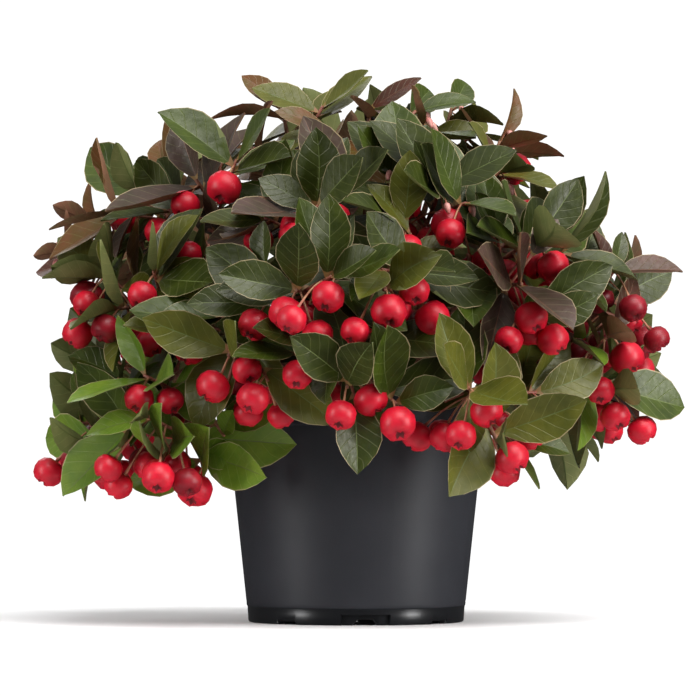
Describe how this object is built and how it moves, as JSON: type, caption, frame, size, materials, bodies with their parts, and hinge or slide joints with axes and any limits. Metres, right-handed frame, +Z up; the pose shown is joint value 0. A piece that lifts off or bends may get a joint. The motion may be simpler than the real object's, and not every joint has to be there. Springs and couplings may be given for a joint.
{
  "type": "potted wintergreen shrub",
  "caption": "Low evergreen shrub with whorled leathery leaves and hanging red berries, growing in a round nursery pot with a rim band and a notched foot ring.",
  "frame": {"origin": "middle of the pot's underside, where the foot ring stands", "axes": "+Z up along the pot's axis, +X to the right as the picture shows it, -Y towards the viewer"},
  "size_m": [0.2979, 0.276, 0.2518],
  "materials": {
    "pot": "satin moulded polypropylene, near black",
    "soil": "damp dark peat",
    "bark": "thin reddish-brown young bark",
    "foliage": "leathery evergreen leaves with a soft sheen, and satin red berries"
  },
  "bodies": {
    "root": {"pot": "pot", "soil": "soil", "rootstock": "bark", "bough_top_left": "bark", "bough_top_middle": "bark", "bough_top_right": "bark", "bough_crest_right": "bark", "bough_left_crest": "bark", "bough_left_shoulder": "bark", "bough_centre_high": "bark", "bough_right_high": "bark", "bough_right_shoulder": "bark", "bough_far_left": "bark", "bough_left_middle": "bark", "bough_centre_front": "bark", "bough_right_front": "bark", "bough_right_middle": "bark", "bough_far_right": "bark", "bough_skirt_far_left": "bark", "bough_skirt_left": "bark", "bough_skirt_front_left": "bark", "bough_skirt_front": "bark", "bough_skirt_right": "bark", "bough_skirt_far_right": "bark", "bough_back_top": "bark", "bough_back_left": "bark", "bough_back_right": "bark", "bough_back_middle": "bark", "bough_back_skirt": "bark", "bough_side_left": "bark", "bough_side_right": "bark", "foliage_top_left": "foliage", "foliage_top_middle": "foliage", "foliage_top_right": "foliage", "foliage_crest_right": "foliage", "foliage_left_crest": "foliage", "foliage_left_shoulder": "foliage", "foliage_centre_high": "foliage", "foliage_right_high": "foliage", "foliage_right_shoulder": "foliage", "foliage_far_left": "foliage", "foliage_left_middle": "foliage", "foliage_centre_front": "foliage", "foliage_right_front": "foliage", "foliage_right_middle": "foliage", "foliage_far_right": "foliage", "foliage_skirt_far_left": "foliage", "foliage_skirt_left": "foliage", "foliage_skirt_front_left": "foliage", "foliage_skirt_front": "foliage", "foliage_skirt_right": "foliage", "foliage_skirt_far_right": "foliage", "foliage_back_top": "foliage", "foliage_back_left": "foliage", "foliage_back_right": "foliage", "foliage_back_middle": "foliage", "foliage_back_skirt": "foliage", "foliage_side_left": "foliage", "foliage_side_right": "foliage"}
  },
  "joints": []
}
